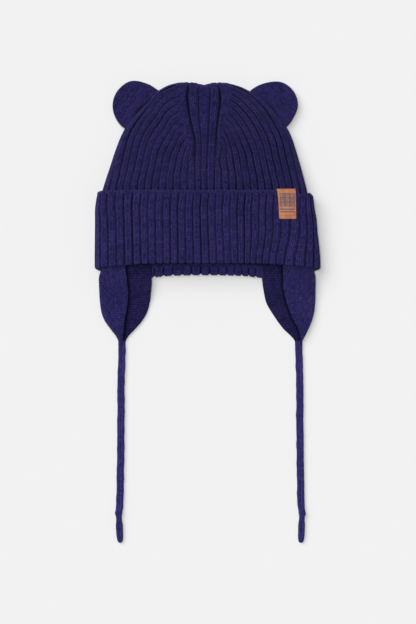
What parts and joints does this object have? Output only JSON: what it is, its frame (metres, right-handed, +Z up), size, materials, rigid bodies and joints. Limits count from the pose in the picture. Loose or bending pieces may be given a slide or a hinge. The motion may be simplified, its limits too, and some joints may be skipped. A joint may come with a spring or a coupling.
{
  "type": "knit hat with ear flaps and ties",
  "caption": "Child's rib-knit hat with round bear ears, a turned-up cuff with a leather label, ear flaps and long knitted ties, lying flat on its back.",
  "frame": {"origin": "on the table under the middle of the hat without its ties", "axes": "+Y from the rim to the top of the crown, +X to the hat's right as seen from above, +Z up from the table"},
  "size_m": [0.1898, 0.3879, 0.0261],
  "materials": {
    "rib_knit": "matt indigo wool blend in a two-by-two rib",
    "jersey_knit": "matt indigo wool blend in plain jersey",
    "tie_knit": "matt indigo wool blend, narrow knitted cord",
    "label_leather": "satin tan leather with a stamped pattern"
  },
  "bodies": {
    "root": {"crown": "rib_knit", "cuff": "rib_knit", "ear_left": "jersey_knit", "ear_right": "jersey_knit", "ear_flap_left": "jersey_knit", "ear_flap_right": "jersey_knit", "tie_left": "tie_knit", "tie_right": "tie_knit", "tie_end_left": "tie_knit", "tie_end_right": "tie_knit", "label": "label_leather"}
  },
  "joints": []
}
